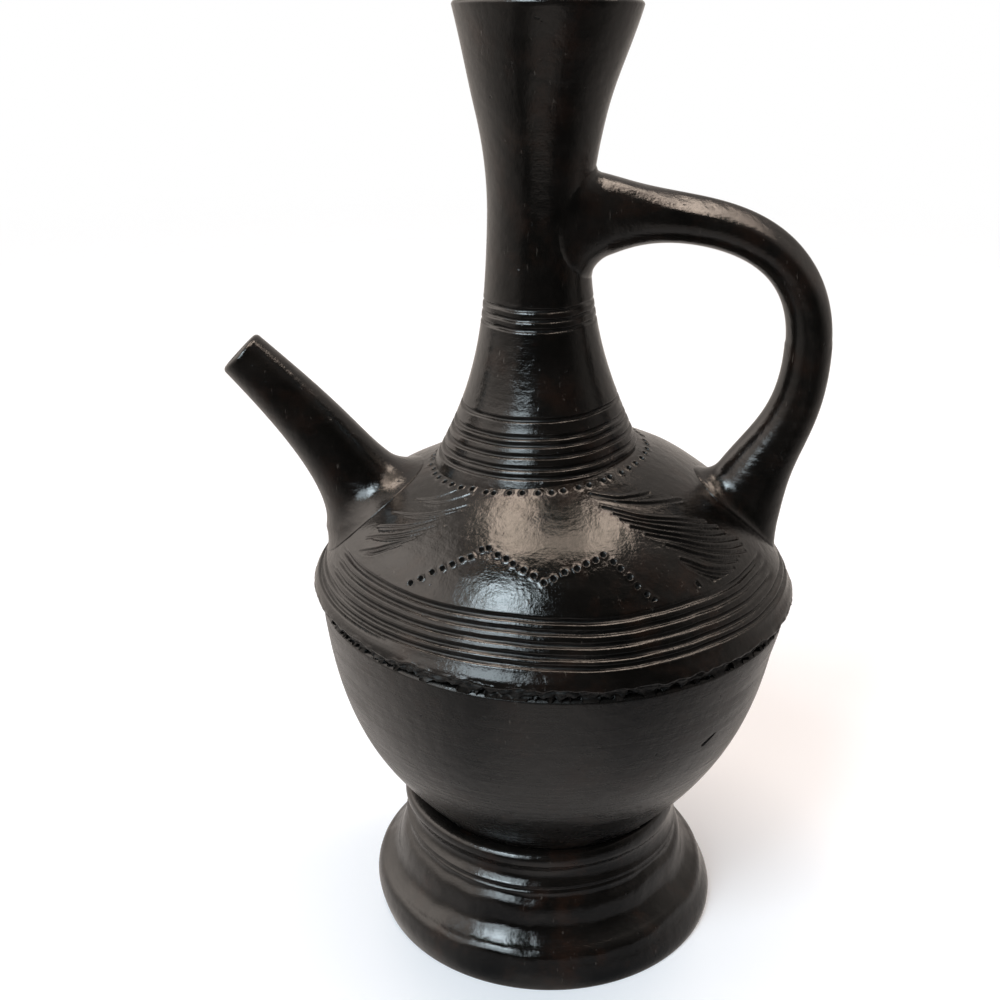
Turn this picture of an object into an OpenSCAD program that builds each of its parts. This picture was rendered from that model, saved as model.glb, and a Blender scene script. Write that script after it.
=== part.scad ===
// Jebena, a hand-built clay coffee pot with a round bottom, standing in its ring stand.
// Millimetres, +Z up. The origin is the centre of the stand's foot, on the table.
// The spout points to -X and the handle to +X.

/* [Ring stand] */
// Outer radius of the foot band
stand_foot_r = 51.6; // [48:0.2:58]
// Height of the foot band
foot_band_h = 12; // [9:0.5:15]
// How far the foot band leans in
foot_band_lean = 3; // [2:0.5:4]
// Rounding of the foot's lower edge
foot_round = 0.8; // [0.4:0.1:1.4]
// Height of the crest of the rim
stand_h = 38.5; // [35:0.5:44]
// Outer radius of the rim
stand_rim_r = 40.6; // [39.8:0.2:43]
// Height of the bead round the rim
rim_bead_h = 4; // [3:0.5:6]
// Depth of the hollow band below the rim bead
stand_waist_depth = 1.2; // [0.5:0.1:2]
// Height of the hollow band below the rim bead
stand_waist_h = 6.5; // [4:0.5:8]
// Depth of the grooves above the foot band and below the hollow band
stand_groove = 0.7; // [0.3:0.1:1]
// Wall of the stand
stand_wall = 6; // [4.5:0.5:7]

/* [Lower bowl] */
// Radius of the round bottom
bottom_r = 49.5; // [46.5:0.5:53]
// Radius of the ring on which the bottom rests
seat_r = 36.6; // [35.6:0.2:37]
// Radius at which the bottom runs out into the flank
flank_start_r = 37.4; // [37.2:0.2:39]
// Outer radius at the seam with the shoulder
bowl_r = 65.3; // [61:0.5:66.4]
// Height from the underside of the bottom to the seam
bowl_h = 83; // [76:0.5:92]
// Wall of the bowl
bowl_wall = 5; // [3.5:0.5:7]

/* [Shoulder] */
// Outer radius of the overhanging ledge
ledge_r = 67; // [66.6:0.2:71]
// Height from the seam to the fullest line of the ledge
ledge_h = 3.4; // [2:0.2:5]
// Height from the seam to the flat on which the neck stands
shoulder_h = 42; // [38:0.5:48]
// Radius of the flat on which the neck stands
neck_seat_r = 24; // [22:0.5:26]
// Wall of the shoulder
shoulder_wall = 5; // [3.5:0.5:7]
// Number of combed lines round the shoulder
comb_lines = 5; // [3:1:6]
// Height of the lowest combed line over the seam
comb_start = 7.4; // [6.4:0.2:8.4]
// Height from one combed line to the next
comb_pitch = 2.5; // [2:0.1:2.8]
// Width of a combed line
comb_width = 1.7; // [1.2:0.1:1.9]
// Depth of a combed line
comb_depth = 0.6; // [0.3:0.1:1]

/* [Neck] */
// How far the neck stands off the axis, towards the spout
neck_shift = 3.6; // [0:0.2:4]
// Outer radius of the collar at its foot
collar_r = 28.2; // [27.4:0.2:31]
// How far the collar's foot reaches below the neck's seat
collar_drop = 1.9; // [1.5:0.1:3]
// Radius of the way through under the collar
neck_bore_r = 17.6; // [15:0.2:19]
// Outer radius of the waist
waist_r = 13.4; // [12:0.2:16]
// Height of the waist over the neck's seat
waist_h = 62; // [54:1:70]
// Outer radius of the mouth
mouth_r = 23.7; // [20:0.1:27]
// Height of the mouth over the neck's seat
neck_h = 115; // [104:1:126]
// Rounding of the lip of the mouth
lip_round = 1.2; // [0.6:0.1:1.6]
// Wall of the neck
neck_wall = 3.6; // [2.8:0.2:4.2]
// Number of lines turned round the collar
collar_lines = 5; // [3:1:6]
// Height of the lowest collar line over the neck's seat
collar_start = 1.7; // [1:0.1:3]
// Number of lines turned round the tube
tube_lines = 3; // [1:1:4]
// Height of the lowest tube line over the neck's seat
tube_start = 36; // [30:1:42]
// Height from one turned line to the next
turned_pitch = 2.5; // [2:0.1:2.8]
// Width of a turned line
turned_width = 1.6; // [1.2:0.1:1.9]
// Depth of a turned line
turned_depth = 0.5; // [0.2:0.1:0.8]

/* [Spout] */
// Height of the spout's centre line over the seam, at its inner end
spout_root_h = 14.7; // [12:0.3:17]
// Distance of that inner end from the outside of the bowl
spout_root_in = 21.8; // [19:0.2:25]
// Height of the tip over the seam
spout_tip_h = 67.4; // [60:0.2:76]
// Distance of the tip from the axis
spout_reach = 85; // [80:0.5:96]
// Slope of the spout where it leaves the shoulder
spout_root_slope = 58; // [52:1:64]
// Slope of the spout at its tip
spout_tip_slope = 45; // [36:1:54]
// Outer radius at the tip
spout_tip_r = 6.8; // [6.2:0.2:7.8]
// Outer radius halfway along
spout_mid_r = 9; // [8.4:0.2:10]
// How much the root spreads over the shoulder
spout_spread = 4.4; // [3:0.2:6]
// Wall of the spout
spout_wall = 2.6; // [2:0.1:3]
// Rounding of the tip
spout_tip_round = 0.8; // [0.4:0.1:1.2]

/* [Handle] */
// Radius of the handle's section in the plane of its loop
handle_r = 5.9; // [5:0.1:7]
// Radius of the handle's section across its loop
handle_side_r = 6.8; // [5.5:0.1:8]
// Distance of the outermost centre line from the axis
handle_reach = 68; // [62:0.5:76]
// Height of the outermost point over the seam
handle_bulge_h = 71.6; // [64:0.2:80]
// Height of the upper end over the neck's seat
handle_top_h = 62; // [56:0.5:66]
// Height of the handle's lower end over the seam, inside the shoulder
handle_root_h = 13.8; // [11:0.2:17]
// Distance of that lower end from the outside of the bowl
handle_root_in = 17.4; // [15:0.2:20]
// How much the upper end spreads over the neck
handle_top_spread = 5.8; // [3:0.2:7]
// How much the lower root spreads over the shoulder
handle_root_spread = 7; // [5:0.5:9]

/* [Fit] */
// Gap between the bowl and the stand that carries it
seat_gap = 0.3; // [0.2:0.05:0.5]

/* [Hidden] */
$fn = 120;
clay = "#2a2725";
clay_satin = "#383634";

// Heights of the stack, from the table up
seat_drop = 0.25 * rim_bead_h;
bottom_centre_z = stand_h - seat_drop + sqrt(bottom_r ^ 2 - seat_r ^ 2);
seam_z = bottom_centre_z - bottom_r + bowl_h;
neck_seat_z = seam_z + shoulder_h;
mouth_z = neck_seat_z + neck_h;
// How far a cut runs past the face that it opens
past = 1;

// A cubic curve from a to b. Its two handles are given as shares of the step across and the step up.
function bow(a, b, leave, reach) =
    let (d = b - a)
    [a, a + [leave[0] * d[0], leave[1] * d[1]], b - [reach[0] * d[0], reach[1] * d[1]], b];
// A point of a cubic curve
function curve(c, t) =
    (1 - t) ^ 3 * c[0] + 3 * (1 - t) ^ 2 * t * c[1] + 3 * (1 - t) * t ^ 2 * c[2] + t ^ 3 * c[3];
function points(c, steps, first = 0) = [for (i = [first:steps]) curve(c, i / steps)];
// The direction in which the curve runs there
function heading(c, t) =
    let (d = (1 - t) ^ 2 * (c[1] - c[0]) + 2 * (1 - t) * t * (c[2] - c[1]) + t ^ 2 * (c[3] - c[2]))
    d / norm(d);
// A point one depth to the left of the curve, which is inwards on an outline that rises
function inside_of(c, t, depth) =
    let (d = heading(c, t))
    curve(c, t) - depth * [d[1], -d[0]];
function inset(c, steps, wall) = [for (i = [0:steps]) inside_of(c, i / steps, wall)];
function turned(list) = [for (i = [len(list) - 1:-1:0]) list[i]];
// The depth of a set of turned lines at a height
function line_depth(z, lines, width, depth) =
    max([0, for (l = lines) abs(z - l) < width / 2 ? depth * cos(180 * (z - l) / width) : 0]);
// A curve with its turned lines pressed in
function lined(c, steps, lines, width, depth) =
    [for (i = [0:steps]) let (t = i / steps)
        inside_of(c, t, line_depth(curve(c, t)[1], lines, width, depth))];
// Heights of a set of lines
function line_heights(first, count, pitch) = [for (i = [0:count - 1]) first + i * pitch];
// Points of an arc about a centre on the axis, by its angles from straight down
function axis_arc(z, r, from, to, steps) =
    [for (i = [0:steps]) let (a = from + (to - from) * i / steps) [r * sin(a), z - r * cos(a)]];

// Ring stand
seat_angle = asin(seat_r / bottom_r);
// Half the angle over which the lip follows the round bottom
lip_half_angle = 1.6;
waist_top_z = stand_h - rim_bead_h;
waist_low_z = waist_top_z - stand_waist_h;
band_top_r = stand_foot_r - foot_band_lean;
ridge_r = stand_rim_r + stand_groove;
flare_low = [band_top_r - stand_groove, foot_band_h + stand_groove];
flare_high = [ridge_r + 0.5 * stand_groove, waist_low_z - 2.6 * stand_groove];
flare = bow(flare_low, flare_high, [0.42, 0.3], [0.27, 0.44]);
ridge_groove = [ridge_r - stand_groove, waist_low_z - 1.5 * stand_groove];
waist = [
    [ridge_r, waist_low_z],
    [stand_rim_r - 1.3 * stand_waist_depth, waist_low_z + 0.3 * stand_waist_h],
    [stand_rim_r - 1.3 * stand_waist_depth, waist_low_z + 0.7 * stand_waist_h],
    [stand_rim_r, waist_top_z]];
foot_band = [
    [stand_foot_r - foot_round, 0],
    [stand_foot_r + 0.7 * foot_round, 0.3 * foot_band_h],
    [stand_foot_r - 0.2 * foot_band_lean, 0.7 * foot_band_h],
    [band_top_r, foot_band_h]];
lip_top_r = (bottom_r + seat_gap) * sin(seat_angle + lip_half_angle);
rim_bead = [
    [stand_rim_r, waist_top_z],
    [stand_rim_r + 0.18 * rim_bead_h, stand_h - 0.4 * rim_bead_h],
    [stand_rim_r - 0.1 * rim_bead_h, stand_h],
    [lip_top_r + 0.12 * rim_bead_h, stand_h]];
hollow_top = [stand_rim_r - stand_wall, waist_low_z];
hollow = bow(hollow_top, [stand_foot_r - stand_wall, 0], [-0.07, 0.18], [0.6, 0.64]);

module ring_stand() {
    outer = concat(
        points(foot_band, 8),
        points(flare, 12),
        [ridge_groove],
        points(waist, 10),
        points(rim_bead, 8, 1));
    // The lip under the pot follows the round bottom, one gap away from it
    lip = axis_arc(bottom_centre_z, bottom_r + seat_gap,
        seat_angle + lip_half_angle, seat_angle - lip_half_angle, 4);
    color(clay) rotate_extrude()
        polygon(concat(outer, lip, points(hollow, 10)));
}

// Lower bowl
flank_angle = asin(flank_start_r / bottom_r);
flank_start = [flank_start_r, bottom_centre_z - sqrt(bottom_r ^ 2 - flank_start_r ^ 2)];
flank_end = [bowl_r, seam_z];
flank_rise = seam_z - flank_start[1];
flank = [
    flank_start,
    flank_start + 0.31 * flank_rise * [cos(flank_angle), sin(flank_angle)],
    flank_end - [0.1 * (bowl_r - flank_start_r), 0.55 * flank_rise],
    flank_end];
// The inside meets the seam one wall in from the outside
bowl_mouth = [bowl_r - bowl_wall, seam_z];

module lower_bowl() {
    outer = concat(
        axis_arc(bottom_centre_z, bottom_r, 0, flank_angle, 14),
        points(flank, 24, 1));
    inner = concat(
        [bowl_mouth],
        [for (i = [23:-1:0]) inside_of(flank, i / 24, bowl_wall)],
        axis_arc(bottom_centre_z, bottom_r - bowl_wall, flank_angle, 0, 14));
    color(clay_satin) rotate_extrude()
        polygon(concat(outer, inner));
}

// Shoulder
ledge_top = [ledge_r - 0.35 * ledge_h, seam_z + 2 * ledge_h];
ledge = [
    [ledge_r - 0.38 * ledge_h, seam_z],
    [ledge_r + 0.06 * ledge_h, seam_z + 0.8 * ledge_h],
    [ledge_r + 0.18 * ledge_h, seam_z + 1.4 * ledge_h],
    ledge_top];
dome = bow(ledge_top, [neck_seat_r, neck_seat_z], [0.24, 0.57], [0.52, 0.27]);
comb = line_heights(seam_z + comb_start, comb_lines, comb_pitch);
ledge_steps = 8;
dome_steps = 84;
ceiling_z = neck_seat_z - shoulder_wall;

// The shoulder's outline, with its combed lines at a depth
function shoulder_outline(depth) = concat(
    [for (i = [0:ledge_steps - 1]) curve(ledge, i / ledge_steps)],
    lined(dome, dome_steps, comb, comb_width, depth),
    [[0, neck_seat_z]]);
// The shoulder without its hollow, which the pieces luted on to it are cut back to
module shoulder_filled() {
    rotate_extrude()
        polygon(concat([[0, seam_z]], shoulder_outline(0)));
}
module shoulder() {
    inside = [for (p = turned(inset(dome, 20, shoulder_wall))) [p[0], min(p[1], ceiling_z)]];
    color(clay) difference() {
        rotate_extrude()
            polygon(concat(shoulder_outline(comb_depth), [[0, ceiling_z]], inside, [bowl_mouth]));
        translate([-neck_shift, 0, ceiling_z - past])
            cylinder(r = neck_bore_r, h = shoulder_wall + 2 * past);
        spout_hole();
    }
}

// Neck, about its own axis
neck_base_z = neck_seat_z - 4 * collar_drop;
waist_z = neck_seat_z + waist_h;
collar = bow([collar_r, neck_seat_z - collar_drop], [waist_r, waist_z], [0.46, 0.22], [0, 0.54]);
funnel = bow([waist_r, waist_z], [mouth_r, mouth_z - lip_round], [0, 0.51], [0.4, 0.29]);
neck_lines = concat(
    line_heights(neck_seat_z + collar_start, collar_lines, turned_pitch),
    line_heights(neck_seat_z + tube_start, tube_lines, turned_pitch));
neck_steps = 90;
funnel_steps = 22;

function neck_outline(depth) = concat(
    [[collar_r + 0.5 * collar_drop, neck_base_z]],
    lined(collar, neck_steps, neck_lines, turned_width, depth),
    points(funnel, funnel_steps, 1),
    [[mouth_r - 0.3 * lip_round, mouth_z - 0.3 * lip_round], [mouth_r - lip_round, mouth_z]]);
// The neck without its bore, which the handle is cut back to
module neck_filled() {
    translate([-neck_shift, 0, 0]) rotate_extrude()
        polygon(concat([[0, neck_base_z]], neck_outline(0), [[0, mouth_z]]));
}
module neck() {
    bore = concat(
        [[mouth_r - neck_wall + 0.6 * lip_round, mouth_z]],
        turned(inset(funnel, funnel_steps, neck_wall)),
        [for (i = [19:-1:0]) let (p = inside_of(collar, i / 20, neck_wall)) [min(p[0], neck_bore_r), p[1]]],
        [[neck_bore_r, neck_base_z]]);
    color(clay) difference() {
        translate([-neck_shift, 0, 0]) rotate_extrude()
            polygon(concat(neck_outline(turned_depth), bore));
        shoulder_filled();
    }
}

// A bar swept along stations in the XZ plane, each [point, direction, radius, side radius]
module swept(stations, sides) {
    rings = len(stations);
    corners = [for (s = stations) for (k = [0:sides - 1]) let (a = 360 * k / sides)
        [s[0][0] - s[1][1] * s[2] * cos(a), s[3] * sin(a), s[0][1] + s[1][0] * s[2] * cos(a)]];
    walls = [for (i = [0:rings - 2]) for (k = [0:sides - 1])
        let (a = i * sides + k, b = i * sides + (k + 1) % sides)
        each [[a, b, a + sides], [b, b + sides, a + sides]]];
    ends = [[for (k = [sides - 1:-1:0]) k], [for (k = [0:sides - 1]) (rings - 1) * sides + k]];
    polyhedron(corners, concat(walls, ends), convexity = 6);
}
// How a root spreads: in full while it is inside the piece that it stands on, then dying away
function spread(t, inside, fade) = min(1, exp((inside - t) * fade));

// Spout
spout_root = [-(bowl_r - spout_root_in), seam_z + spout_root_h];
spout_tip = [-spout_reach, seam_z + spout_tip_h];
spout_pull = 0.36 * norm(spout_tip - spout_root);
spout_line = [
    spout_root,
    spout_root + spout_pull * [-cos(spout_root_slope), sin(spout_root_slope)],
    spout_tip - spout_pull * [-cos(spout_tip_slope), sin(spout_tip_slope)],
    spout_tip];
spout_rings = 24;
spout_sides = 24;
spout_inside = 0.2;
spout_fade = 11;
// Where the rounding of the tip begins
spout_round_t = 1 - spout_tip_round / norm(spout_tip - spout_root);

function spout_taper(t) = spout_tip_r + 2 * (spout_mid_r - spout_tip_r) * (1 - t);
function spout_station(t, r, side_r) = [curve(spout_line, t), heading(spout_line, min(1, t)), r, side_r];
module spout() {
    outside = concat(
        [for (i = [0:spout_rings - 1])
            let (t = i / spout_rings, r = spout_taper(t), more = spout_spread * spread(t, spout_inside, spout_fade))
            spout_station(t, r + more, r + 0.7 * more)],
        [for (end = [[spout_round_t, 0], [1, spout_tip_round]])
            let (r = spout_taper(end[0]) - end[1])
            spout_station(end[0], r, r)]);
    inside = [for (i = [0:spout_rings + 1])
        let (t = i / spout_rings, r = spout_taper(t) - spout_wall)
        spout_station(t, r, r)];
    color(clay) difference() {
        swept(outside, spout_sides);
        swept(inside, spout_sides);
        shoulder_filled();
    }
}
// The hole through the shoulder, behind the spout
module spout_hole() {
    translate([spout_root[0], 0, spout_root[1]])
        rotate([0, spout_root_slope - 90, 0])
            translate([0, 0, -2 * shoulder_wall])
                cylinder(r = spout_taper(spout_inside) - spout_wall, h = 6 * shoulder_wall);
}

// Handle
handle_top = [0.45 * waist_r - neck_shift, neck_seat_z + handle_top_h];
handle_side = [handle_reach, seam_z + handle_bulge_h];
handle_root = [bowl_r - handle_root_in, seam_z + handle_root_h];
handle_upper = bow(handle_top, handle_side, [0.78, -0.17], [0, 0.66]);
handle_lower = bow(handle_side, handle_root, [0, 0.48], [0.28, 0.5]);
handle_rings = 20;
handle_sides = 20;
// The shares of each half that lie inside the neck and the shoulder, and how fast each spread dies away
handle_inside = [0.07, 0.2];
handle_fade = [17, 4.6];

function handle_more(t) =
    t <= 1 ? handle_top_spread * spread(t, handle_inside[0], handle_fade[0])
        : handle_root_spread * spread(2 - t, handle_inside[1], handle_fade[1]);
module handle() {
    stations = [for (i = [0:2 * handle_rings])
        let (t = i / handle_rings, c = t <= 1 ? handle_upper : handle_lower, s = t <= 1 ? t : t - 1,
            more = handle_more(t))
        [curve(c, s), heading(c, s), handle_r + more, handle_side_r + 0.45 * more]];
    color(clay) difference() {
        swept(stations, handle_sides);
        neck_filled();
        shoulder_filled();
    }
}

ring_stand();
lower_bowl();
shoulder();
neck();
spout();
handle();
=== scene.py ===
"""A jebena: a hand-built, black-fired clay coffee pot in its ring stand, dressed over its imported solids.

Shapes are worked in millimetres in the frame of the solids and scaled to metres once, when a piece is finished.
A bearing is the angle round the axis from the front, in degrees, and grows towards the handle.
"""

import bisect
from math import asin, atan2, cos, degrees, exp, hypot, pi, radians, sin, sqrt, tau

import bmesh
import bpy
from bpy.props import FloatProperty, FloatVectorProperty, IntProperty, PointerProperty
from bpy.types import NodeSocket, Operator, Panel, PropertyGroup
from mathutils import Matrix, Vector, kdtree, noise
from mathutils.geometry import interpolate_bezier


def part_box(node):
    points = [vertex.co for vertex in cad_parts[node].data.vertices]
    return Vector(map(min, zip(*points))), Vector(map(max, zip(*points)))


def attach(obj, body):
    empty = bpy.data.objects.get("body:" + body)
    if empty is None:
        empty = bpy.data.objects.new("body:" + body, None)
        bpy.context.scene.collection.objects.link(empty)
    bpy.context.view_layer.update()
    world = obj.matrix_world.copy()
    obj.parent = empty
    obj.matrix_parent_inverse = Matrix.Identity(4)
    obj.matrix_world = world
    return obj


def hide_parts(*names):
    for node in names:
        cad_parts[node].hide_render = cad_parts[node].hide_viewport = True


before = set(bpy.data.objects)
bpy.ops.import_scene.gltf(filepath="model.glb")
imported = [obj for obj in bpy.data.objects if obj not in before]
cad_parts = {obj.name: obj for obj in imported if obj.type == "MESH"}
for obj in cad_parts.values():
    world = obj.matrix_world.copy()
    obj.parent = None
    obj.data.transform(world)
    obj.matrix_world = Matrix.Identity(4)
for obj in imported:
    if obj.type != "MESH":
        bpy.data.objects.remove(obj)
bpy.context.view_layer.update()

bl_info = {
    "name": "Jebena coffee pot",
    "version": (1, 0, 0),
    "blender": (4, 5, 0),
    "location": "3D View > Sidebar > Jebena",
    "description": "Builds a black clay coffee pot with its ring stand, piece by piece",
    "category": "Mesh",
}

MM = 0.001
BOX = {name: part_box(name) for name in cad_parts}
TINY = 1e-9

# Lengths that pieces share, in millimetres
BOTTOM_R = 49.5  # round bottom of the bowl
BOTTOM_Z = BOX["lower_bowl"][0][2] / MM + BOTTOM_R  # height of that round's centre
WALL = 5.0  # wall of the bowl and the shoulder
BORE_R = 17.6  # way through under the neck
DOME_TOP_R = 24  # upper end of the dome, under the neck
NECK_WALL = 3.6
WAIST_UP = 62  # narrowest part of the neck, over its seat
LIP_H = 1.2  # round edge of the mouth
MERGE = 1e-3  # points nearer than this are one
ROOT_SUNK = 1.6  # depth of a luted root's end in what carries it
ROUND_STEPS = 240  # steps round the stand and the bowl


def linear(text):
    """An sRGB hex colour as linear red, green and blue."""
    parts = [int(text[i:i + 2], 16) / 255 for i in (1, 3, 5)]
    return [c / 12.92 if c <= 0.04045 else ((c + 0.055) / 1.055) ** 2.4 for c in parts]


def length(name, description, mm):
    """A length that the user may change, given in millimetres."""
    return FloatProperty(name=name, description=description, default=mm * MM, min=0, unit="LENGTH",
                         subtype="DISTANCE", precision=5)


def colour(name, description, text):
    """A colour that the user may change."""
    return FloatVectorProperty(name=name, description=description, default=linear(text), min=0, max=1, size=3,
                               subtype="COLOR")


class JebenaSizes(PropertyGroup):
    """Sizes of the pot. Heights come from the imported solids."""
    stand_h: length("Stand height", "Height of the crest of the stand's rim", BOX["ring_stand"][1][2] / MM)
    seam_z: length("Seam height", "Height of the seam between bowl and shoulder", BOX["lower_bowl"][1][2] / MM)
    seat_z: length("Neck seat", "Height of the flat on which the neck stands", BOX["shoulder"][1][2] / MM)
    mouth_z: length("Mouth height", "Height of the mouth of the neck", BOX["neck"][1][2] / MM)
    foot_r: length("Foot radius", "Outer radius of the stand's foot band", 51.6)
    rim_r: length("Rim radius", "Outer radius of the stand's rim", 40.6)
    bowl_r: length("Bowl radius", "Outer radius of the bowl at the seam", 65.3)
    ledge_r: length("Ledge radius", "Outer radius of the overhanging ledge", 67.0)
    collar_r: length("Collar radius", "Radius of the foot of the neck", 28.2)
    waist_r: length("Waist radius", "Radius of the narrowest part of the neck", 13.4)
    mouth_r: length("Mouth radius", "Outer radius of the mouth", 23.7)
    neck_shift: length("Neck shift", "How far the neck stands off the axis, towards the spout", 3.6)
    comb_depth: length("Comb depth", "Depth of the combed lines round the shoulder", 0.85)
    turned_depth: length("Turned depth", "Depth of the lines turned round the neck", 0.75)
    dot_d: length("Dot width", "Width of a punched dot", 1.5)
    dot_depth: length("Dot depth", "Depth of a punched dot", 1.3)
    stroke_w: length("Stroke width", "Width of a dragged comb stroke", 1.15)
    stroke_depth: length("Stroke depth", "Depth of a dragged comb stroke", 0.55)
    root_fillet: length("Root fillet", "Radius with which the spout and handle run out on to the shoulder", 5.5)
    luted_edge: length("Luted edge", "Height of the edge left where a root was luted on", 0.12)
    hand_wobble: length("Hand wobble", "How far the surfaces stray from true, as hand-built clay does", 0.35)
    neck_dots: IntProperty(name="Dots round the neck", description="Number of dots punched round the neck's foot",
                           default=52, min=12, max=72)


class JebenaClay(PropertyGroup):
    """Colours of the fired clay."""
    black: colour("Fired black", "Main colour of the smoked, burnished clay", "#090807")
    grey: colour("Worn grey", "Paler cloud in the black, where the smoke took less", "#171412")
    brown: colour("Iron brown", "Brown that shows through on the stand and the edges", "#26160e")
    satin: colour("Satin black", "Main colour of the duller bowl", "#0c0b0a")
    # Painted shade: the near-black put into the pressed hollows and pits, where shade falls. Only their duller gloss
    # is the clay's own.
    raw_and_shade: colour("Raw black", "Dull black of the punched and torn places", "#080706")
    scuff: colour("Scuff", "Pale, short scuffs of use", "#5a544e")
    floor: colour("Floor", "Pale floor under the pot", "#e9ebf1")


def size(name):
    """A size in millimetres."""
    return getattr(bpy.context.scene.jebena_sizes, name) / MM


def paint(name):
    """A colour with its alpha."""
    return (*getattr(bpy.context.scene.jebena_clay, name), 1)


# Places

def smooth(low, high, value):
    """0 below low, 1 above high, and a soft step between."""
    t = min(max((value - low) / (high - low), 0), 1)
    return t * t * (3 - 2 * t)


def step_at(marks, value):
    """Which step of a rising row of marks a value lies in, and its share of that step."""
    k = min(max(bisect.bisect_right(marks, value), 1), len(marks) - 1)
    return k, (value - marks[k - 1]) / max(marks[k] - marks[k - 1], TINY)


def at_bearing(bearing, r, z):
    """The point at a bearing, a radius and a height."""
    b = radians(bearing)
    return Vector((r * sin(b), -r * cos(b), z))


def round_axis(p, shift=0.0):
    """The way from the axis to a point, as a point of a circle, on which noise closes."""
    b = atan2(p.x + shift, -p.y)
    return Vector((sin(b), cos(b), 0))


# Outlines, as points (radius, height)

def arch(a, b, leave, reach, count=160):
    """A cubic curve from a to b. Its handles are shares of the step across and the step up."""
    a, b = Vector(a), Vector(b)
    d = b - a
    return interpolate_bezier(a, a + Vector((leave[0] * d.x, leave[1] * d.y)),
                              b - Vector((reach[0] * d.x, reach[1] * d.y)), b, count)


def cubic(points, count=80):
    """A cubic curve from its four points of control."""
    return interpolate_bezier(*[Vector(p) for p in points], count)


def axis_arc(z, r, start, end, count=60):
    """An arc about a centre on the axis, by its angles from straight down."""
    return [Vector((r * sin(a), z - r * cos(a)))
            for a in (start + (end - start) * i / (count - 1) for i in range(count))]


def spaced(path, pitch):
    """The path walked again in even steps of about one pitch."""
    gone = [0.0]
    for a, b in zip(path, path[1:]):
        gone.append(gone[-1] + (b - a).length)
    steps = max(1, round(gone[-1] / pitch))
    walked = []
    for i in range(steps + 1):
        k, part = step_at(gone, gone[-1] * i / steps)
        walked.append(path[k - 1].lerp(path[k], part))
    return walked


def inset(path, wall):
    """The path moved one wall to its left, which is inwards on an outline that rises."""
    moved = []
    for i, p in enumerate(path):
        d = (path[min(i + 1, len(path) - 1)] - path[max(i - 1, 0)]).normalized()
        moved.append(p + wall * Vector((-d.y, d.x)))
    return moved


def lined(path, lines, half, pitch):
    """The path walked in even steps, and in close steps across each line."""
    rows = [p.y for p in spaced(path, pitch) if all(abs(p.y - line) > 1.45 * half for line in lines)]
    rows += [line + half * step for line in lines for step in (-1.3, -1, -0.6, -0.2, 0.2, 0.6, 1, 1.3)
             if path[0].y < line + half * step < path[-1].y]
    heights, walked = [p.y for p in path], []
    for z in sorted(rows):
        k, part = step_at(heights, z)
        walked.append(path[k - 1].lerp(path[k], part))
    return walked


def groove(z, lines, half):
    """How deep a set of drawn lines is at a height, as a share. Their edges stand up a little."""
    q = min(abs(z - line) for line in lines) / half
    return 1 - smooth(0.15, 1.05, q) - 0.08 * smooth(0.8, 1.1, q) * (1 - smooth(1.1, 1.6, q))


def dome_path():
    """The outside of the shoulder, from the top of the ledge to the neck's foot."""
    return arch((size("ledge_r") - 1.19, size("seam_z") + 6.8), (DOME_TOP_R, size("seat_z")),
                (0.24, 0.57), (0.52, 0.27), 400)


def neck_path():
    """The outside of the neck about its own axis, from the collar's foot to the lip."""
    seat, waist = size("seat_z"), (size("waist_r"), size("seat_z") + WAIST_UP)
    collar = arch((size("collar_r"), seat - 1.9), waist, (0.46, 0.22), (0, 0.54), 300)
    funnel = arch(waist, (size("mouth_r"), size("mouth_z") - LIP_H), (0, 0.41), (0.4, 0.29), 200)
    return collar, funnel


class Turned:
    """A turned outside that tells how far a point lies off it, and which way is out."""

    def __init__(self, path, shift=0.0, upright=True):
        self.shift, self.upright = shift, upright
        self.path = sorted(path, key=lambda p: p.y if upright else p.x)
        self.keys = [p.y if upright else p.x for p in self.path]

    def off(self, point):
        """The gap from the outside to a point, and the way out there."""
        r = hypot(point.x + self.shift, point.y)
        key, other = (point.z, r) if self.upright else (r, point.z)
        k, part = step_at(self.keys, key)
        a, b = self.path[k - 1], self.path[k]
        on = a.lerp(b, min(max(part, 0), 1))
        d = (b - a).normalized()
        side = Vector((d.y, -d.x)) if self.upright else Vector((-d.y, d.x))
        gap = (other - on.x) * side.x if self.upright else (other - on.y) * side.y
        across = Vector((point.x + self.shift, point.y, 0)).normalized()
        return gap, Vector((across.x * side.x, across.y * side.x, side.y))


# How far hand building strays from true: height, shift to the handle, lift, and tilt towards the handle
STRAYS = ((45, 0, 0, 0), (104, 0, -1.2, -0.0164), (150, 0, 0, 0.042), (208, -0.7, 0, 0), (235, -0.5, 0, 0),
          (262, 0.9, 0, 0))
WOBBLE_MM = 34  # length of the hand's uneven waves
HAND = 1  # seed of the hand's unevenness, so that each run builds the same pot


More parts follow.
